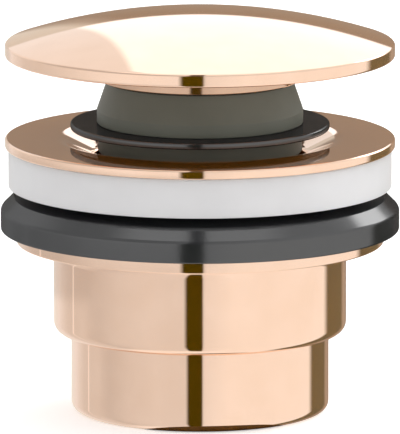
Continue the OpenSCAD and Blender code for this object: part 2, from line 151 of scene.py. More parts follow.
def patchy_material(name, dark, light, patch, detail, roughness=0.5):
    """A material, its coordinates, and the pattern and colour of its patches, patch mm wide."""
    material, place = new_material(name)
    noise = add_node(material, "ShaderNodeTexNoise", {
        "Vector": place, "Scale": per_size(patch), "Detail": detail, "Roughness": roughness})
    tint = add_node(material, "ShaderNodeValToRGB", {"Fac": noise.outputs["Fac"]})
    set_ramp(tint, [(PATCH_DARK, linear(dark)), (PATCH_LIGHT, linear(light))])
    return material, place, noise.outputs["Fac"], tint.outputs["Color"]


print("noise scale for 1 mm:", per_size(1))

# %% [markdown]
# ## A helper for meshes
# Every mesh made here is shaped as a bmesh, Blender's editable form of a mesh. When it is done it is
# written to a mesh, and an object puts that mesh in the scene.

# %% Mesh helper
def mesh_object(name, shape):
    """Makes a finished bmesh an object of the scene."""
    mesh = bpy.data.meshes.new(name)
    shape.to_mesh(mesh)
    shape.free()
    made = bpy.data.objects.new(name, mesh)
    bpy.context.scene.collection.objects.link(made)
    return made


print("mesh helper ready")

# %% [markdown]
# ## The floor
# A pale, even floor keeps the object's soft shadow and fills the whole background, as a sheet of white
# paper would. The metal doesn't see it: real pictures of polished metal are taken in a tent, and what
# the metal shows below the horizon is the tent's lower half. To the camera the paper also glows a little,
# which lifts it to white and leaves the shadow faint, and no light falls on the object from this. From
# below the sheet is clear, so that the fitting's underside can be looked at too.

# %% Floor
FLOOR_SIZE = 12.0
PAPER_GLOW = 0.42
PAPER_GRAIN = 2.5

sheet = bmesh.new()
bmesh.ops.create_grid(sheet, x_segments=1, y_segments=1, size=FLOOR_SIZE / 2)
floor = mesh_object("floor", sheet)
floor.visible_glossy = False

paper, *_, tint = patchy_material("white_paper", "FBFBFB", "FEFEFE", patch=PAPER_GRAIN, detail=2.0)
matt = add_node(paper, "ShaderNodeBsdfPrincipled",
                {"Base Color": tint, "Roughness": 0.9, "Specular IOR Level": 0.2})
rays = add_node(paper, "ShaderNodeLightPath").outputs
seen = 0.0
for ray in ("Is Camera Ray", "Is Glossy Ray", "Is Transmission Ray"):
    seen = add_node(paper, "ShaderNodeMath", {0: seen, 1: rays[ray]}, operation="ADD").outputs[0]
level = add_node(paper, "ShaderNodeMath", {0: seen, 1: PAPER_GLOW}, operation="MULTIPLY")
shine = add_node(paper, "ShaderNodeEmission", {"Strength": level.outputs[0]})
lit = add_node(paper, "ShaderNodeAddShader", {0: matt.outputs["BSDF"], 1: shine.outputs["Emission"]})
side = add_node(paper, "ShaderNodeNewGeometry").outputs["Backfacing"]
clear = add_node(paper, "ShaderNodeBsdfTransparent")
one_way = add_node(paper, "ShaderNodeMixShader", {
    0: side, 1: lit.outputs["Shader"], 2: clear.outputs["BSDF"]})
add_node(paper, "ShaderNodeOutputMaterial", {"Surface": one_way.outputs["Shader"]})
floor.data.materials.append(paper)
print("floor", FLOOR_SIZE, "m wide")

# %% [markdown]
# Close under the front of the tail the paper lies in shadow, and the rounded foot mirrors that as a short
# dark line. A small dark disc just below the paper gives the line. Only reflections see the disc.

# %% Contact shadow
SHADE_RADIUS = 13.5
SHADE_PLACE = (1.3, -8.8, -0.1)

disc = bmesh.new()
bmesh.ops.create_circle(disc, cap_ends=True, segments=96, radius=SHADE_RADIUS * MM,
                        matrix=Matrix.Translation([way * MM for way in SHADE_PLACE]))
shade = mesh_object("contact_shadow", disc)
shade.visible_camera = False
shade.visible_diffuse = False
shade.visible_transmission = False
shade.visible_shadow = False

shaded, *_, tint = patchy_material("shaded_paper", "4E4438", "5A5042", patch=PAPER_GRAIN, detail=2.0)
dim = add_node(shaded, "ShaderNodeBsdfDiffuse", {"Color": tint})
add_node(shaded, "ShaderNodeOutputMaterial", {"Surface": dim.outputs["BSDF"]})
shade.data.materials.append(shaded)
print("shadow disc", SHADE_RADIUS, "mm")

# %% [markdown]
# ## The light tent
# Polished metal has no colour of its own to show but its tint: what one sees is the room. So the room is
# made with care. It is a ball of soft light round the object, grey on the left, brighter on the right,
# with a dark flag in front, and a dim, warm band low at the back that the dome and the flange mirror.
# The camera looks through the tent's wall, and sees the paper and the white world behind it.

# %% Tent
TENT_RADIUS = 0.6

ball = bmesh.new()
bmesh.ops.create_icosphere(ball, subdivisions=5, radius=TENT_RADIUS)
tent = mesh_object("tent", ball)
tent.data.shade_smooth()
tent.visible_camera = False
tent.visible_shadow = False

world = bpy.data.worlds.new("white_world")
world.use_nodes = True
world.node_tree.nodes["Background"].inputs["Color"].default_value = (1, 1, 1, 1)
bpy.context.scene.world = world
print("tent", TENT_RADIUS, "m in radius")

# %% [markdown]
# ### The ways to measure the tent
# The tent's pattern is written by direction from the origin: how far right, back or up it points, and its
# azimuth, which is counted from the camera's side and positive to the right. Two more measures say how
# far a direction is from a bright seam on the left, and how near to a lamp high at the back on the right.
# The last one is the real height of the wall. The tent is small enough that the cap, which is high, and
# the tail, which is low, see different heights of it.

# %% Tent directions
SEAM_AZIMUTH = math.radians(-117.7)
LAMP_DIRECTION = (0.592, 0.629, 0.507)

cloth, place = new_material("tent_cloth")
direction = add_node(cloth, "ShaderNodeVectorMath", {0: place}, operation="NORMALIZE").outputs["Vector"]
axes = add_node(cloth, "ShaderNodeSeparateXYZ", {"Vector": direction}).outputs
front = add_node(cloth, "ShaderNodeMath", {0: axes["Y"], 1: -1.0}, operation="MULTIPLY").outputs[0]
azimuth = add_node(cloth, "ShaderNodeMath", {0: axes["X"], 1: front}, operation="ARCTAN2").outputs[0]
past_seam = add_node(cloth, "ShaderNodeMath", {0: azimuth, 1: SEAM_AZIMUTH}, operation="SUBTRACT")
off_seam = add_node(cloth, "ShaderNodeMath", {0: past_seam.outputs[0]}, operation="ABSOLUTE")
to_lamp = add_node(cloth, "ShaderNodeVectorMath", {0: direction, 1: LAMP_DIRECTION},
                   operation="DOT_PRODUCT")
heights = add_node(cloth, "ShaderNodeSeparateXYZ", {"Vector": place})
measures = {
    "right": axes["X"], "back": axes["Y"], "up": axes["Z"], "front": front, "azimuth": azimuth,
    "off seam": off_seam.outputs[0], "to lamp": to_lamp.outputs["Value"], "height": heights.outputs["Z"],
}
print("the tent is measured in", len(measures), "ways")

# %% [markdown]
# ### The wall
# The low part of the tent goes by azimuth, in degrees, as a ramp of colours. The dark flag stands in
# front, a little left of the camera, and behind the object the wall turns dim and warm.

# %% Tent wall
FLAG = (0.012, 0.02, 0.0)
BRIGHT_SIDE = (1.07, 1.06, 1.04)
DIM_CORNER = (0.13, 0.13, 0.09)
BACK_BAND = (0.30, 0.25, 0.205)
BAND_LEFT = (0.70, 0.67, 0.60)
BAND_RIGHT = (0.40, 0.34, 0.28)


def grey(level):
    """A linear grey of this level."""
    return (level, level, level)


WALL_COLOURS = [
    (-180, BACK_BAND), (-174.8, BACK_BAND), (-173.2, BAND_LEFT), (-146, grey(0.74)), (-125, grey(0.61)),
    (-97, grey(0.62)), (-66, grey(0.77)), (-40, grey(0.84)), (-12, grey(0.82)),
    (-10.5, FLAG), (1.5, FLAG), (3, grey(0.93)), (25, BRIGHT_SIDE), (113, BRIGHT_SIDE),
    (119, DIM_CORNER), (146, DIM_CORNER), (153, BAND_RIGHT), (168, BACK_BAND), (180, BACK_BAND),
]
turn = add_node(cloth, "ShaderNodeMapRange", {"Value": azimuth, "From Min": -math.pi, "From Max": math.pi})
ramp = add_node(cloth, "ShaderNodeValToRGB", {"Fac": turn.outputs["Result"]})
set_ramp(ramp, [((angle + 180) / 360, (*colour, 1)) for angle, colour in WALL_COLOURS])
print("colours round the wall:", len(WALL_COLOURS))

# %% [markdown]
# ### The soft edges
# Everything else in the tent is a level that changes smoothly along one of the measures: from its first
# level at the start to its second level at the end. An edge whose levels are 0 and 1 is a mask, which
# says where something else applies. Directions are shares of an arrow of length 1, angles are radians
# and heights are metres. A painted picture could light the object too, but here every edge can be moved
# by changing one number, and one loop makes them all.

# %% Tent edges
BACK_START, BACK_END = 0.80, 0.92
SEAM_WIDTH = math.radians(1.2)
STRIP_RIGHT, STRIP_SOFT = 0.03, 0.012
LAMP_EDGE, LAMP_CORE = math.cos(math.radians(14)), math.cos(math.radians(6))

# Name of the edge: the measure, its start and its end, and the two levels
SOFT_EDGES = {
    "at back": ("back", BACK_START, BACK_END, 0.0, 1.0),
    "off back": ("back", BACK_START, BACK_END, 1.0, 0.0),
    "left wall": ("right", 0.0, -0.2, 0.0, 1.0),
    "upward gain": ("height", -0.0825, -0.0425, 0.0, 0.25),
    "seam": ("off seam", SEAM_WIDTH, SEAM_WIDTH / 2, 0.0, 1.0),
    "seam gain": ("height", -0.058, -0.080, 0.0, 0.5),
    "left foot": ("azimuth", math.radians(-85), math.radians(-105), 0.0, 1.0),
    "foot gain": ("height", -0.0905, -0.0935, 0.0, 0.24),
    "under": ("up", -0.80, -0.92, 0.0, 1.0),
    "side horizon": ("up", 0.107, 0.38, 0.0, 1.0),
    "back horizon": ("up", 0.300, 0.326, 0.0, 1.0),
    "front ceiling": ("right", -0.5, 0.9, 0.60, 0.95),
    "rear ceiling": ("right", -0.124, -0.108, 0.96, 1.56),
    "rear": ("back", 0.2, 0.6, 0.0, 1.0),
    "top": ("up", 0.86, 0.94, 0.0, 1.0),
    "strip left": ("up", 0.0, 1.0, -0.16, -0.06),
    "strip right": ("right", STRIP_RIGHT + STRIP_SOFT, STRIP_RIGHT - STRIP_SOFT, 0.0, 1.0),
    "strip front": ("front", 0.03, 0.09, 0.0, 1.0),
    "lamp": ("to lamp", LAMP_EDGE, LAMP_CORE, 0.0, 4.0),
}
edges = {}
for name, (measure, start, end, first, second) in SOFT_EDGES.items():
    edge = add_node(cloth, "ShaderNodeMapRange", {
        "Value": measures[measure], "From Min": start, "From Max": end, "To Min": first, "To Max": second,
    }, interpolation_type="SMOOTHSTEP")
    edges[name] = edge.outputs["Result"]
print("soft edges:", len(edges))

# %% [markdown]
# ### Brighter places on the wall
# The left wall brightens upward, but not the band at the back, so the cap, which is high, is brighter on
# the left than the tail. A narrow seam glows low on the left, and the wall's foot is brighter on the left
# too. Each of these is a few edges multiplied together, and added to the wall's level of 1. Straight below
# is white paper, which the rounded feet of sleeve and tail show as a thin bright line.

# %% Brighter wall
GAINS = [("upward gain", "left wall", "off back"), ("seam", "seam gain"), ("foot gain", "left foot")]
UNDER_LEVEL = (1.1, 1.09, 1.07, 1)

gain = 1.0
for first, *others in GAINS:
    extra = edges[first]
    for name in others:
        product = add_node(cloth, "ShaderNodeMath", {0: extra, 1: edges[name]}, operation="MULTIPLY")
        extra = product.outputs[0]
    gain = add_node(cloth, "ShaderNodeMath", {0: gain, 1: extra}, operation="ADD").outputs[0]
wall = add_node(cloth, "ShaderNodeVectorMath", {0: ramp.outputs["Color"], "Scale": gain}, operation="SCALE")
wall = add_node(cloth, "ShaderNodeMix", {0: edges["under"], 6: wall.outputs["Vector"], 7: UNDER_LEVEL},
                data_type="RGBA")
print("gains on the wall:", len(GAINS))

# %% [markdown]
# ### The ceiling
# The ceiling is painted in layers, each over the one before where its mask says so: the front, the rear,
# the top, and last a narrow strip in which the dark flag goes on upward. The strip's left edge slants, so
# its mask is measured from that edge. The soft lamp is added to all of them.

# %% Tent ceiling
TOP_LEVEL = 1.3
STRIP_LEVEL = 0.06

past_left = add_node(cloth, "ShaderNodeMath", {0: axes["X"], 1: edges["strip left"]}, operation="SUBTRACT")
strip = add_node(cloth, "ShaderNodeMapRange", {
    "Value": past_left.outputs[0], "From Min": -STRIP_SOFT, "From Max": STRIP_SOFT,
}, interpolation_type="SMOOTHSTEP").outputs["Result"]
for name in ("strip right", "strip front"):
    strip = add_node(cloth, "ShaderNodeMath", {0: strip, 1: edges[name]}, operation="MULTIPLY").outputs[0]
ceiling = edges["front ceiling"]
layers = [(edges["rear"], edges["rear ceiling"]), (edges["top"], TOP_LEVEL), (strip, STRIP_LEVEL)]
for mask, level in layers:
    ceiling = add_node(cloth, "ShaderNodeMix", {0: mask, 2: ceiling, 3: level}).outputs[0]
ceiling = add_node(cloth, "ShaderNodeMath", {0: ceiling, 1: edges["lamp"]}, operation="ADD").outputs[0]
print("layers of ceiling:", 1 + len(layers))

# %% [markdown]
# ### The cloth
# Wall and ceiling meet at the horizon, which is soft at the sides and sharp at the back. The cloth gives
# off its colour as light, so the tent is the object's lamp and its reflection in one.

# %% Tent cloth
rise = add_node(cloth, "ShaderNodeMix", {
    0: edges["at back"], 2: edges["side horizon"], 3: edges["back horizon"]})
light = add_node(cloth, "ShaderNodeMix", {0: rise.outputs[0], 6: wall.outputs[2], 7: ceiling},
                 data_type="RGBA")
glow = add_node(cloth, "ShaderNodeEmission", {"Color": light.outputs[2], "Strength": 1.0})
add_node(cloth, "ShaderNodeOutputMaterial", {"Surface": glow.outputs["Emission"]})
tent.data.materials.append(cloth)
print("nodes in the tent's cloth:", len(cloth.node_tree.nodes))

# %% [markdown]
# ## The finishes
# Each material is named for what the real surface is and how it was made. Most of a finish is in its
# roughness and in small height differences, so those come from noise whose size is a real size in
# millimetres. A pattern finer than a third of a millimetre would vanish in the picture, so such grain is
# drawn as coarse as it needs to be.
#
# ### Polished rose-gold plate
# The cap, the flange and the lower body are brass, polished and then plated with a copper-rich gold.
# Plating keeps the polish, so the surface is close to a mirror. It still has a faint haze where the
# buffing wheel pressed less, and a very slight waviness, which keeps long reflections from looking drawn
# with a ruler. A clear lacquer over it scatters a little warm light, which is added as a dim matt layer.
# The boss lies in the cap's shade, so a second plate, darker and rougher, is made for it: its darker
# colour is painted shade.

# %% Rose-gold plate
def rose_gold_plate(name, dark, light, smoothest, roughest):
    """Plate between two near shades and two roughnesses, under its lacquer."""
    plate, place, haze, tint = patchy_material(name, dark, light, patch=6, detail=4.0)
    rough = add_node(plate, "ShaderNodeMapRange", {"Value": haze, "To Min": smoothest, "To Max": roughest})
    wave = add_node(plate, "ShaderNodeTexNoise", {"Vector": place, "Scale": per_size(9), "Detail": 1.0})
    skin = add_node(plate, "ShaderNodeBump", {"Height": wave.outputs["Fac"], "Distance": 0.002 * MM})
    metal = add_node(plate, "ShaderNodeBsdfPrincipled", {
        "Base Color": tint, "Metallic": 1.0, "Roughness": rough.outputs["Result"],
        "Normal": skin.outputs["Normal"]})
    lacquer = add_node(plate, "ShaderNodeBsdfDiffuse", {"Color": linear("543302")})
    coated = add_node(plate, "ShaderNodeAddShader", {0: metal.outputs["BSDF"], 1: lacquer.outputs["BSDF"]})
    add_node(plate, "ShaderNodeOutputMaterial", {"Surface": coated.outputs["Shader"]})
    return plate


PLATE = rose_gold_plate("polished_rose_gold_plate", "EDCFBA", "F1D4C0", 0.03, 0.06)
# The second plate's darker shades are painted shade under the cap.
SHADED_BOSS_PLATE = rose_gold_plate("rose_gold_plate_painted_shade", "C4A58F", "CCAD97", 0.07, 0.11)
print("made", PLATE.name, "and", SHADED_BOSS_PLATE.name)

# %% [markdown]
# ### Moulded grey plastic
# The hub is injection moulded. The steel mould was spark eroded, which leaves a fine, even grain, and the
# plastic comes out satin: it catches the light softly and shows no reflection with an edge. The grain
# could be a picture, but a noise has no seams and fits any shape, so one noise drives both the bump and
# the roughness.

# %% Grey plastic
def moulded_grey():
    """Satin plastic with the grain of its mould."""
    plastic, place, _, tint = patchy_material("satin_moulded_plastic", "6F7369", "75796F",
                                              patch=8, detail=3.0)
    grain = add_node(plastic, "ShaderNodeTexNoise", {
        "Vector": place, "Scale": per_size(0.35), "Detail": 2.0})
    rough = add_node(plastic, "ShaderNodeMapRange", {
        "Value": grain.outputs["Fac"], "To Min": 0.42, "To Max": 0.56})
    skin = add_node(plastic, "ShaderNodeBump", {"Height": grain.outputs["Fac"], "Distance": 0.01 * MM})
    satin = add_node(plastic, "ShaderNodeBsdfPrincipled", {
        "Base Color": tint, "IOR": 1.49, "Specular IOR Level": 0.35, "Roughness": rough.outputs["Result"],
        "Normal": skin.outputs["Normal"]})
    add_node(plastic, "ShaderNodeOutputMaterial", {"Surface": satin.outputs["BSDF"]})
    return plastic


GREY = moulded_grey()
print("made", GREY.name)

# %% [markdown]
# ### Black rubber
# The lipped seal and the gasket are pressed rubber. Fresh from the press it has a smooth, slightly waxy
# skin, so the edges catch a grey light although the body is nearly black. A principled surface would
# mirror more and more where one looks along it, so a matt body is mixed with a fixed share of clear
# shine instead.

# %% Black rubber
SHEEN = 0.095


def pressed_rubber():
    """Nearly black rubber with a waxy skin."""
    rubber, place, cloud, tint = patchy_material("pressed_black_rubber", "292A2C", "313234",
                                                 patch=5, detail=4.0)
    grain = add_node(rubber, "ShaderNodeTexNoise", {
        "Vector": place, "Scale": per_size(0.4), "Detail": 2.0})
    rough = add_node(rubber, "ShaderNodeMapRange", {"Value": cloud, "To Min": 0.10, "To Max": 0.15})
    skin = add_node(rubber, "ShaderNodeBump", {"Height": grain.outputs["Fac"], "Distance": 0.004 * MM})
    body = add_node(rubber, "ShaderNodeBsdfDiffuse", {
        "Color": tint, "Roughness": 0.8, "Normal": skin.outputs["Normal"]})
    wax = add_node(rubber, "ShaderNodeBsdfAnisotropic", {
        "Color": (1, 1, 1, 1), "Roughness": rough.outputs["Result"], "Normal": skin.outputs["Normal"]})
    waxed = add_node(rubber, "ShaderNodeMixShader", {
        0: SHEEN, 1: body.outputs["BSDF"], 2: wax.outputs["BSDF"]})
    add_node(rubber, "ShaderNodeOutputMaterial", {"Surface": waxed.outputs["Shader"]})
    return rubber


RUBBER = pressed_rubber()
print("made", RUBBER.name)

# %% [markdown]
# ### White silicone
# The thick washer under the flange is cast silicone. Light goes a little way into it, which softens its
# shading, and its skin is smooth but not glossy. White alone would look like plaster, so a part of the
# light is let in to a depth of two or three millimetres.

# %% White silicone
def cast_silicone():
    """White silicone that lets some light in."""
    silicone, place, _, tint = patchy_material("cast_white_silicone", "EDECED", "F2F1F2",
                                               patch=10, detail=3.0)
    grain = add_node(silicone, "ShaderNodeTexNoise", {
        "Vector": place, "Scale": per_size(0.5), "Detail": 2.0})
    skin = add_node(silicone, "ShaderNodeBump", {"Height": grain.outputs["Fac"], "Distance": 0.004 * MM})
    soft = add_node(silicone, "ShaderNodeBsdfPrincipled", {
        "Base Color": tint, "IOR": 1.45, "Roughness": 0.32, "Normal": skin.outputs["Normal"],
        "Subsurface Weight": 0.6, "Subsurface Radius": (1.0, 1.0, 1.0), "Subsurface Scale": 2.5 * MM})
    add_node(silicone, "ShaderNodeOutputMaterial", {"Surface": soft.outputs["BSDF"]})
    return silicone


SILICONE = cast_silicone()
print("made", SILICONE.name)

# %% [markdown]
# ### Turned brass
# The cartridge's barrel, nut, end plug and plunger are turned on a lathe and left bright. The tool leaves
# fine rings along the axis, drawn here with a wave texture that runs along Z, and the brass has tarnished
# a little in patches. Real grooves would take a great many faces, and a bump gives the same shimmer.

# %% Turned brass
TOOL_FEED = 0.4


def turned_brass():
    """Bright brass with the rings of the lathe tool, one every TOOL_FEED mm."""
    brass, place, _, tint = patchy_material("turned_brass", "C9A765", "DDBF7F", patch=3, detail=5.0)
    rings = add_node(brass, "ShaderNodeTexWave", {
        "Vector": place, "Scale": per_size(TOOL_FEED) / math.tau, "Distortion": 0.6, "Detail": 2.0,
    }, wave_type="BANDS", bands_direction="Z").outputs["Fac"]
    rough = add_node(brass, "ShaderNodeMapRange", {"Value": rings, "To Min": 0.16, "To Max": 0.32})
    skin = add_node(brass, "ShaderNodeBump", {"Height": rings, "Distance": 0.006 * MM})
    bright = add_node(brass, "ShaderNodeBsdfPrincipled", {
        "Base Color": tint, "Metallic": 1.0, "Roughness": rough.outputs["Result"],
        "Normal": skin.outputs["Normal"]})
    add_node(brass, "ShaderNodeOutputMaterial", {"Surface": bright.outputs["BSDF"]})
    return brass


BRASS = turned_brass()
print("made", BRASS.name)

# %% [markdown]
# ### Drawn steel
# The spring, the stud and the toothed washer are stainless steel. Drawing the wire through a die leaves
# faint streaks and a bright, slightly blurred shine. These pieces are small, so a fine noise stands for
# the streaks, and no pattern has to follow the wire.

# %% Drawn steel
def drawn_steel():
    """Bright steel with the faint streaks of the die."""
    steel, _, streak, tint = patchy_material("drawn_stainless_steel", "C4C6C9", "D6D8DA",
                                             patch=0.8, detail=4.0)
    rough = add_node(steel, "ShaderNodeMapRange", {"Value": streak, "To Min": 0.18, "To Max": 0.30})
    skin = add_node(steel, "ShaderNodeBump", {"Height": streak, "Distance": 0.003 * MM})
    shiny = add_node(steel, "ShaderNodeBsdfPrincipled", {
        "Base Color": tint, "Metallic": 1.0, "Roughness": rough.outputs["Result"],
        "Normal": skin.outputs["Normal"]})
    add_node(steel, "ShaderNodeOutputMaterial", {"Surface": shiny.outputs["BSDF"]})
    return steel


STEEL = drawn_steel()
print("made", STEEL.name)

# %% [markdown]
# ### Natural acetal and red fibre
# The cam, the slotted sleeve and the slip washer are moulded in acetal, a slippery, milky plastic. The
# washer under the cartridge's hexagon is vulcanised fibre, pressed paper that swells a little and seals.
# Both are plain surfaces, so one noise is enough for each: cloudy for the acetal, and felted, with
# strong fine detail, for the fibre.

# %% Acetal and fibre
def natural_acetal():
    """Milky plastic that lets a little light in."""
    acetal, _, cloud, tint = patchy_material("natural_acetal", "DEDDD4", "E8E7DF", patch=4, detail=3.0)
    skin = add_node(acetal, "ShaderNodeBump", {"Height": cloud, "Distance": 0.004 * MM})
    milky = add_node(acetal, "ShaderNodeBsdfPrincipled", {
        "Base Color": tint, "IOR": 1.48, "Roughness": 0.38, "Normal": skin.outputs["Normal"],
        "Subsurface Weight": 0.2, "Subsurface Radius": (1.0, 1.0, 0.9), "Subsurface Scale": 0.6 * MM})
    add_node(acetal, "ShaderNodeOutputMaterial", {"Surface": milky.outputs["BSDF"]})
    return acetal


def vulcanised_fibre():
    """Dry, red, pressed paper."""
    fibre, _, felt, tint = patchy_material("vulcanised_fibre", "7E2F22", "9A4331",
                                           patch=0.6, detail=6.0, roughness=0.7)
    skin = add_node(fibre, "ShaderNodeBump", {"Height": felt, "Distance": 0.02 * MM})
    dry = add_node(fibre, "ShaderNodeBsdfPrincipled", {
        "Base Color": tint, "Roughness": 0.75, "Normal": skin.outputs["Normal"]})
    add_node(fibre, "ShaderNodeOutputMaterial", {"Surface": dry.outputs["BSDF"]})
    return fibre


ACETAL = natural_acetal()
FIBRE = vulcanised_fibre()
print("made", ACETAL.name, "and", FIBRE.name)

# %% [markdown]
# ## Turning a piece
# Nearly everything here is round, so most pieces begin as half a section and are spun round the axis,
# just as a lathe would cut them. The section is one flat face. Its corners are rounded first, while it
# is still flat, because a corner rounded before the spin is a true arc all the way round. Then the face
# itself goes, and its outline is spun into a closed skin. From here on, sizes are in millimetres, apart
# from the distance at which points are welded, which is in metres.

# %% Turning helper
SPIN_STEPS = 192
WIDE_STEPS = 256
ARC_STEPS = 6
WELD = 1e-6


def turned(corners, steps=SPIN_STEPS):
    """A closed solid of revolution from corners (radius, height, rounding) in mm, in order."""
    shape = bmesh.new()
    points = [shape.verts.new((radius * MM, 0, height * MM)) for radius, height, _ in corners]
    shape.faces.new(points)
    for point, (_, _, rounding) in zip(points, corners):
        if rounding:
            one, other = [edge.other_vert(point).co - point.co for edge in point.link_edges]
            slide = rounding * MM / math.tan(one.angle(other) / 2)
            bmesh.ops.bevel(shape, geom=[point], offset=slide, offset_type="OFFSET", segments=ARC_STEPS,
                            profile=0.5, affect="VERTICES", material=-1)
    bmesh.ops.delete(shape, geom=shape.faces[:], context="FACES_ONLY")
    on_axis = [edge for edge in shape.edges if all(abs(v.co.x) < WELD for v in edge.verts)]
    bmesh.ops.delete(shape, geom=on_axis, context="EDGES")
    bmesh.ops.spin(shape, geom=shape.verts[:] + shape.edges[:], cent=(0, 0, 0), axis=(0, 0, 1),
                   angle=math.tau, steps=steps, use_merge=True)
    bmesh.ops.remove_doubles(shape, verts=shape.verts[:], dist=WELD)
    bmesh.ops.recalc_face_normals(shape, faces=shape.faces[:])
    return shape


print("spin steps", SPIN_STEPS, "and", WIDE_STEPS)

# %% [markdown]
# ## Joining and dressing a piece
# A piece may be several closed skins, such as a ring and its ribs, which only share a mesh. Where the
# angle between two faces is sharp the shading breaks, and elsewhere it is smooth, with weighted normals
# that keep the flat faces flat beside a rounded corner. Each piece then rides on its body and takes the
# place of its node in the frame, which is hidden. A hair is the room between pieces that touch, and also
# how deep the root of a thread lies in its wall.

# %% Piece helpers
SHARP_ANGLE = math.radians(32)
HAIR = 0.02


def join(shapes):
    """Several bmeshes as one, each keeping its own closed skin."""
    whole = bmesh.new()
    for shape in shapes:
        part = bpy.data.meshes.new("part")
        shape.to_mesh(part)
        shape.free()
        whole.from_mesh(part)
        bpy.data.meshes.remove(part)
    return whole


def piece(name, shape, body, material, slot, *nodes):
    """Makes shape a piece that rides on body, wears material and stands for the CAD nodes."""
    made = mesh_object(name, shape)
    made.data.shade_smooth()
    made.data.set_sharp_from_angle(angle=SHARP_ANGLE)
    made.data.materials.append(material)
    weights = made.modifiers.new("weighted_normals", "WEIGHTED_NORMAL")
    weights.keep_sharp = True
    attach(made, body)
    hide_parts(*nodes)
    print(name, len(made.data.polygons), "faces")
    return made


def reach(node):
    """Outer radius, lowest point and highest point of a CAD node, in mm."""
    lowest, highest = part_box(node)
    return highest.x / MM, lowest.z / MM, highest.z / MM


print("the flange is", round(2 * reach("waste_flange")[0], 2), "mm wide")

# %% [markdown]
# ## The domed cap
# The cap is what one sees in the basin. Its top is a shallow piece of a sphere, and the sphere's radius
# follows from the cap's radius and the rise of the dome. Below it are an upright rim and a boss with a
# blind hole, into which the stud screws. The dome's arc is worked out with the circle's formula, because
# a chain of arc points is simpler than bending a flat disc.

# %% Cap
DOME_RISE = 5.15
DOME_POINTS = 48
RIM_HEIGHT = 2.1
CAP_EDGE = 0.4
BOSS_RADIUS = 16.25
STUD_RADIUS = 2.5
STUD_DEPTH = 6.0

cap_radius, boss_foot, cap_top = reach("plug_cap")
rim_top = cap_top - DOME_RISE
rim_foot = rim_top - RIM_HEIGHT
dome_radius = (cap_radius ** 2 + DOME_RISE ** 2) / (2 * DOME_RISE)
dome = []
for i in range(DOME_POINTS, -1, -1):
    across = cap_radius * i / DOME_POINTS
    sag = dome_radius - math.sqrt(dome_radius ** 2 - across ** 2)
    dome.append((across, cap_top - sag, CAP_EDGE if i == DOME_POINTS else 0))
hole_radius = STUD_RADIUS + HAIR
hole_top = boss_foot + STUD_DEPTH
cap_section = dome + [
    (0, hole_top, 0), (hole_radius, hole_top, 0), (hole_radius, boss_foot, 0.2),
    (BOSS_RADIUS, boss_foot, 0.15), (BOSS_RADIUS, rim_foot, 0.25), (cap_radius, rim_foot, CAP_EDGE),
]
cap = piece("domed_cap", turned(cap_section, WIDE_STEPS), "plug", PLATE, "rose_gold", "plug_cap")
cap.data.materials.append(SHADED_BOSS_PLATE)
# The boss and its hole take the darker plate, whose darker colour is painted shade under the cap.
for face in cap.data.polygons:
    if face.center.z < rim_foot * MM and face.center.xy.length < (BOSS_RADIUS + CAP_EDGE) * MM:
        face.material_index = 1

# %% [markdown]
# ## The grey hub
# Below the cap sits a moulded cone. It is a shell: a roof with a hole for the plunger's neck, an outer
# wall that narrows upward, a groove that holds the seal, and a core that reaches down into the throat.
# Inside, a tower slides round the cartridge, held by four webs. A solid cone with a wall thickness would
# be quicker, but as a turned section every step of the wall is drawn in its true place.

# %% Hub shell
HUB_WALL = 1.8
BAND_RADIUS = 16.75
BAND_HEIGHT = 2.15
CONE_TOP = 15.15
NECK_HOLE = 3.82
CORE_RADIUS = 13.2
GROOVE_RADIUS = 13.5
KEEPER_RADIUS = 16.6
KEEPER_HEIGHT = 3.4
TOWER_RADIUS = 7.0
TOWER_DROP = 3.0
OVERLAP = 0.3

_, hub_foot, hub_top = reach("plug_hub")
seal_radius, seal_foot, seal_top = reach("plug_seal")
hub_roof = hub_top - HUB_WALL
hub_inside = CORE_RADIUS - HUB_WALL
keeper_foot = seal_foot - KEEPER_HEIGHT
shell = turned([
    (CORE_RADIUS, hub_foot, 0.6), (CORE_RADIUS, keeper_foot - (KEEPER_RADIUS - CORE_RADIUS), 0.5),
    (KEEPER_RADIUS, keeper_foot, 0.3), (KEEPER_RADIUS, seal_foot, 0.1),
    (GROOVE_RADIUS, seal_foot, 0), (GROOVE_RADIUS, seal_top, 0), (BAND_RADIUS, seal_top, 0.2),
    (BAND_RADIUS, seal_top + BAND_HEIGHT, 0.5), (CONE_TOP, hub_top, 0.25),
    (NECK_HOLE, hub_top, 0.2), (NECK_HOLE, hub_roof, 0.2),
    (hub_inside, hub_roof, 0.5), (hub_inside, hub_foot, 0.3),
])
tower_foot = hub_foot + TOWER_DROP
tower_top = hub_roof + OVERLAP
tower = turned([
    (TOWER_RADIUS, tower_foot, 0.3), (TOWER_RADIUS + HUB_WALL, tower_foot, 0.3),
    (TOWER_RADIUS + HUB_WALL, tower_top, 0), (TOWER_RADIUS, tower_top, 0),
])
print("keeper ring at", round(keeper_foot, 2), "mm")

# %% [markdown]
# ### Ribs and webs
# Outside the core, eight ribs keep the plug in the middle while water runs between them. A rib, a web and
# an arm of the crossbar further down are all upright plates that stand round the axis like spokes, so one
# function makes the plate and another puts it all the way round. Every plate runs a little way into the
# walls beside it.

# %% Ribs and webs
RIB_COUNT = 8
RIB_RADIUS = 16.4
RIB_WIDTH = 1.6
RIB_INSET = 1.0
WEB_COUNT = 4
WEB_WIDTH = 1.2
PLATE_EDGE = 0.15
GRIP = 0.8


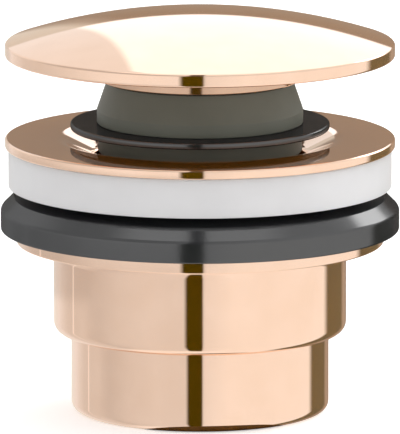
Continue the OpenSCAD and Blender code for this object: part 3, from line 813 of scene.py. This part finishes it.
def upright_plate(outline, width, angle):
    """A plate standing on the axis plane at this angle, from its outline of (radius, height) in mm."""
    shape = bmesh.new()
    face = shape.faces.new([shape.verts.new((r * MM, -width / 2 * MM, z * MM)) for r, z in outline])
    grown = bmesh.ops.extrude_face_region(shape, geom=[face])["geom"]
    far_side = [v for v in grown if isinstance(v, bmesh.types.BMVert)]
    bmesh.ops.translate(shape, verts=far_side, vec=(0, width * MM, 0))
    bmesh.ops.recalc_face_normals(shape, faces=shape.faces[:])
    bmesh.ops.bevel(shape, geom=shape.edges[:], offset=PLATE_EDGE * MM, offset_type="OFFSET", segments=2,
                    profile=0.5, affect="EDGES", material=-1)
    bmesh.ops.rotate(shape, verts=shape.verts[:], cent=(0, 0, 0), matrix=Matrix.Rotation(angle, 3, "Z"))
    return shape


def spokes(outline, width, count, shift=0.0):
    """This many upright plates, evenly round the axis. shift turns them by that share of a step."""
    return [upright_plate(outline, width, math.tau * (i + shift) / count) for i in range(count)]


rib_foot = hub_foot + RIB_INSET
rib_top = keeper_foot + RIB_INSET
rib_root = CORE_RADIUS - GRIP
lead_top = rib_foot + RIB_RADIUS - CORE_RADIUS
web_foot = tower_foot + WEB_WIDTH
web_inside = TOWER_RADIUS + HUB_WALL - GRIP
web_outside = hub_inside + GRIP
rib_outline = [(rib_root, rib_foot), (CORE_RADIUS, rib_foot), (RIB_RADIUS, lead_top),
               (RIB_RADIUS, rib_top), (rib_root, rib_top)]
web_outline = [(web_inside, web_foot), (web_outside, web_foot),
               (web_outside, tower_top), (web_inside, tower_top)]
ribs = spokes(rib_outline, RIB_WIDTH, RIB_COUNT, 0.5)
webs = spokes(web_outline, WEB_WIDTH, WEB_COUNT, 0.5)
piece("moulded_hub", join([shell, tower, *ribs, *webs]), "plug", GREY, "grey_plastic", "plug_hub")

# %% [markdown]
# ## The lipped seal
# A flat rubber ring sits in the hub's groove, a hair clear of it. Its lip is rounded at the edge, where
# it lands on the flange's seat. A torus would be too round, so the ring is turned from its section.

# %% Seal
SEAL_SHELF = 0.9

seal_root = GROOVE_RADIUS + HAIR
lipped = turned([
    (seal_root, seal_foot + HAIR / 2, 0), (seal_radius, seal_foot + HAIR / 2, 0.35),
    (seal_radius, seal_top, 0.3), (BAND_RADIUS + SEAL_SHELF, seal_top, 0),
    (seal_root, seal_top - HAIR / 2, 0),
])
piece("lipped_seal", lipped, "plug", RUBBER, "black_rubber", "plug_seal")

# %% [markdown]
# ## Threads
# A thread is one ridge that climbs round the axis. Its section has four corners, and the same spin that
# turns a piece also lifts it a little at each step when it is given a displacement. The pipe thread on
# the stem has eleven ridges an inch with flanks at 27.5 degrees, so the ridge's width at any radius
# follows from the pitch. A Screw modifier would climb as well, but it would leave the ends open.

# %% Thread helper
PIPE_PITCH = 25.4 / 11
FLANK = math.tan(math.radians(27.5))
TURN_STEPS = 64


def ridge(root, crest, middle, start, turns, room=0.0):
    """A helical ridge from radius root to crest, half a pitch wide at radius middle, in mm."""
    shape = bmesh.new()
    outward = 1 if crest > root else -1
    section = []
    for radius, side in ((root, -1), (crest, -1), (crest, 1), (root, 1)):
        half = PIPE_PITCH / 4 - outward * (radius - middle) * FLANK - room
        section.append(shape.verts.new((radius * MM, 0, (start + side * half) * MM)))
    outline = [shape.edges.new((section[i], section[(i + 1) % 4])) for i in range(4)]
    bmesh.ops.spin(shape, geom=section + outline, cent=(0, 0, 0), axis=(0, 0, 1), angle=math.tau * turns,
                   dvec=(0, 0, PIPE_PITCH / TURN_STEPS * MM), steps=round(TURN_STEPS * turns))
    bmesh.ops.holes_fill(shape, edges=shape.edges[:], sides=4)
    bmesh.ops.recalc_face_normals(shape, faces=shape.faces[:])
    return shape


print("pipe thread pitch", round(PIPE_PITCH, 3), "mm")

# %% [markdown]
# ## The flange, stem and crossbar
# One brass casting: a thin flat flange that covers the basin's hole, a conical seat for the seal, a
# rounded throat, and a threaded stem. Low in the stem four arms carry the boss that holds the cartridge.
# The arms are separate closed bars that run a little way into the wall: cutting them out of one skin
# would look the same and leave worse faces.

# %% Flange and stem
RIM_THICKNESS = 1.5
SEAT_RADIUS = 22.65
SEAT_ANGLE = math.radians(25.5)
SEAT_ROUNDING = 4.0
THROAT_RADIUS = 17.2
THROAT_EDGE = 1.0
THROAT_HEIGHT = 2.0
STEM_RADIUS = 20.95
STEM_ROOT = 19.5
STEM_BORE = 18.3
ROOT_BEVEL = 1.0
PLAIN_NECK = 2.2
NECK_BEVEL = 1.2

flange_radius, stem_foot, flange_top = reach("waste_flange")
flange_under = flange_top - RIM_THICKNESS
seat_foot = flange_top - (SEAT_RADIUS - THROAT_RADIUS) * math.tan(SEAT_ANGLE)
throat_low = seat_foot - THROAT_EDGE - THROAT_HEIGHT
neck_foot = flange_under - PLAIN_NECK
stem_top = neck_foot - NECK_BEVEL
flange_shape = turned([
    (THROAT_RADIUS, throat_low, 0.3), (THROAT_RADIUS, seat_foot, THROAT_EDGE),
    (SEAT_RADIUS, flange_top, SEAT_ROUNDING), (flange_radius, flange_top, 0.35),
    (flange_radius, flange_under, 0.3), (STEM_RADIUS + ROOT_BEVEL, flange_under, 0),
    (STEM_RADIUS, flange_under - ROOT_BEVEL, 0), (STEM_RADIUS, neck_foot, 0.15),
    (STEM_ROOT, stem_top, 0), (STEM_ROOT, stem_foot, 0.3), (STEM_BORE, stem_foot, 0.3),
    (STEM_BORE, throat_low - (STEM_BORE - THROAT_RADIUS), 0),
], WIDE_STEPS)
print("the seat goes down to", round(seat_foot, 2), "mm")

# %% [markdown]
# The crossbar's boss is a turned ring, and its four arms are spokes. The stem's thread is a ridge that
# starts a little above the stem's foot and ends just below the plain neck.

# %% Crossbar and stem thread
CROSS_DROP = 18.0
CROSS_HEIGHT = 4.4
CROSS_BOSS = 8.64
BARREL_RADIUS = 6.0
ARM_COUNT = 4
ARM_WIDTH = 2.6
ARM_INSET = 0.5
THREAD_MIDDLE = 20.21
THREAD_LEAD = 1.3
THREAD_END = 0.3

cross_top = flange_top - CROSS_DROP
cross_foot = cross_top - CROSS_HEIGHT
boss_bore = BARREL_RADIUS + HAIR
boss = turned([
    (boss_bore, cross_foot, 0.2), (CROSS_BOSS, cross_foot, 0.4), (CROSS_BOSS, cross_top, 0.4),
    (boss_bore, cross_top, 0.2),
])
arm_inside, arm_outside = CROSS_BOSS - GRIP, STEM_BORE + ARM_INSET
arm_foot, arm_top = cross_foot + ARM_INSET, cross_top - ARM_INSET
arm_outline = [(arm_inside, arm_foot), (arm_outside, arm_foot),
               (arm_outside, arm_top), (arm_inside, arm_top)]
arms = spokes(arm_outline, ARM_WIDTH, ARM_COUNT)
thread_foot = stem_foot + THREAD_LEAD
thread_turns = (stem_top - THREAD_END - thread_foot) / PIPE_PITCH
stem_thread = ridge(STEM_ROOT - HAIR, STEM_RADIUS, THREAD_MIDDLE, thread_foot, thread_turns)
casting = join([flange_shape, boss, *arms, stem_thread])
piece("flange_and_stem", casting, "waste_body", PLATE, "rose_gold", "waste_flange")

# %% [markdown]
# ## The white washer
# Between flange and basin lies a thick soft washer. It is a simple turned section, bevelled inside to
# clear the root of the flange. Its outer edges are nearly sharp, as a cast edge is.

# %% White washer
STEM_ROOM = 0.15

washer_radius, washer_foot, washer_top = reach("flange_washer")
clear_radius = STEM_RADIUS + STEM_ROOM
white_ring = turned([
    (clear_radius, washer_foot, 0.4), (washer_radius, washer_foot, 0.15), (washer_radius, washer_top, 0.2),
    (clear_radius + ROOT_BEVEL, washer_top, 0), (clear_radius, washer_top - ROOT_BEVEL, 0.2),
], WIDE_STEPS)
piece("white_washer", white_ring, "waste_body", SILICONE, "white_silicone", "flange_washer")

# %% [markdown]
# ## The black gasket
# Under the basin sits a rubber gasket with a bevelled shoulder, a flat top and a low neck that centres
# the stem in the basin's hole. A recess below holds the slip washer. The shoulder's rounded edge is what
# makes it look soft.

# %% Black gasket
GASKET_SIDE = 3.45
GASKET_BEVEL = 2.05
GASKET_NECK = 22.2
SLIP_RADIUS = 25.8
SLIP_HEIGHT = 0.8

gasket_radius, gasket_foot, gasket_top = reach("basin_gasket")
side_top = gasket_foot + GASKET_SIDE
flat_top = side_top + GASKET_BEVEL
recess_radius = SLIP_RADIUS + HAIR
recess_top = gasket_foot + SLIP_HEIGHT
gasket_ring = turned([
    (clear_radius, recess_top, 0), (recess_radius, recess_top, 0), (recess_radius, gasket_foot, 0.1),
    (gasket_radius, gasket_foot, 0.35), (gasket_radius, side_top, 0.9),
    (gasket_radius - GASKET_BEVEL, flat_top, 0.4), (GASKET_NECK, flat_top, 0.4),
    (GASKET_NECK, gasket_top, 0.25), (clear_radius, gasket_top, 0.25),
], WIDE_STEPS)
piece("bevelled_gasket", gasket_ring, "gasket_carrier", RUBBER, "black_rubber", "basin_gasket")

# %% [markdown]
# ## The lower body
# The lower body screws up the stem. A collar presses on the slip washer, the sleeve holds the female
# thread, and the tail below it takes the trap's nut. The hollow under the collar is a true quarter round,
# so it is drawn as a corner with a large rounding.

# %% Lower body
COLLAR_HEIGHT = 2.0
SLEEVE_RADIUS = 23.8
SLEEVE_EDGE = 1.75
SLEEVE_FILLET = 2.0
TAIL_RADIUS = 20.95
TAIL_HEIGHT = 13.0
TAIL_EDGE = 1.6
TAIL_BORE = 18.0
LEDGE = 1.8
THREAD_BORE = 21.1
MOUTH_BEVEL = 0.8
FEMALE_CREST = 19.75
FEMALE_END = 2.5
FEMALE_ROOM = 0.06

collar_radius, tail_foot, collar_top = reach("lower_body")
collar_foot = collar_top - COLLAR_HEIGHT
ledge_height = TAIL_HEIGHT + LEDGE
lower_shape = turned([
    (TAIL_BORE, tail_foot, 0.3), (TAIL_RADIUS, tail_foot, TAIL_EDGE), (TAIL_RADIUS, TAIL_HEIGHT, 0.15),
    (SLEEVE_RADIUS, TAIL_HEIGHT, SLEEVE_EDGE), (SLEEVE_RADIUS, collar_foot, SLEEVE_FILLET),
    (collar_radius, collar_foot, 0.25), (collar_radius, collar_top, 0.25),
    (THREAD_BORE + MOUTH_BEVEL, collar_top, 0), (THREAD_BORE, collar_top - MOUTH_BEVEL, 0),
    (THREAD_BORE, ledge_height, 0), (TAIL_BORE, ledge_height, 0.2),
], WIDE_STEPS)
female_foot = thread_foot + PIPE_PITCH / 2
female_turns = (collar_top - FEMALE_END - female_foot) / PIPE_PITCH
female_thread = ridge(THREAD_BORE + HAIR, FEMALE_CREST, THREAD_MIDDLE, female_foot, female_turns,
                      FEMALE_ROOM)
piece("lower_sleeve", join([lower_shape, female_thread]), "screw_body", PLATE, "rose_gold", "lower_body")

# %% [markdown]
# ## The return spring
# The spring is a round wire on a helix, closed at both ends so that it stands square. A ring of wire is
# spun three times in a row: an end coil that hardly climbs, the working coils, and a second end coil.
# A bevelled curve could give the coil too, but in a spin the climb can change from one stretch to the
# next.

# %% Spring
WIRE_RADIUS = 0.45
WIRE_SIDES = 12
SPRING_RADIUS = 3.05
END_TURNS = 1.0
END_CLIMB = 0.95
WORKING_TURNS = 4.0
COIL_STEPS = 40

_, spring_foot, spring_top = reach("return_spring")
spring_height = spring_top - spring_foot
working_climb = (spring_height - 2 * WIRE_RADIUS - 2 * END_TURNS * END_CLIMB) / WORKING_TURNS
wire = bmesh.new()
stand = Matrix.Translation((SPRING_RADIUS * MM, 0, (spring_foot + WIRE_RADIUS) * MM))
stand = stand @ Matrix.Rotation(math.pi / 2, 4, "X")
bmesh.ops.create_circle(wire, cap_ends=False, segments=WIRE_SIDES, radius=WIRE_RADIUS * MM, matrix=stand)
last = wire.verts[:] + wire.edges[:]
for turns, climb in ((END_TURNS, END_CLIMB), (WORKING_TURNS, working_climb), (END_TURNS, END_CLIMB)):
    spun = bmesh.ops.spin(wire, geom=last, cent=(0, 0, 0), axis=(0, 0, 1), angle=math.tau * turns,
                          dvec=(0, 0, climb / COIL_STEPS * MM), steps=round(COIL_STEPS * turns))
    last = spun["geom_last"]
bmesh.ops.holes_fill(wire, edges=wire.edges[:], sides=WIRE_SIDES)
bmesh.ops.recalc_face_normals(wire, faces=wire.faces[:])
coil = piece("coil_spring", wire, "waste_body", STEEL, "steel", "return_spring")
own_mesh(coil)

# %% [markdown]
# ## The pieces that stay as they were built
# The small pieces inside the cartridge are right as they are: they only need their finish. Each gets it
# by filling the material slot of its own object.

# %% Finishes for the small pieces
KEPT = {
    "cap_stud": STEEL, "cap_gasket": RUBBER, "plunger": BRASS, "ratchet_cam": ACETAL,
    "ratchet_sleeve": ACETAL, "cartridge_barrel": BRASS, "rod_o_ring": RUBBER, "cartridge_washer": FIBRE,
    "lock_washer": STEEL, "cartridge_nut": BRASS, "end_plug": BRASS, "slip_washer": ACETAL,
}
for node, material in KEPT.items():
    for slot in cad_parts[node].material_slots:
        slot.material = material
print("kept", len(KEPT), "pieces")
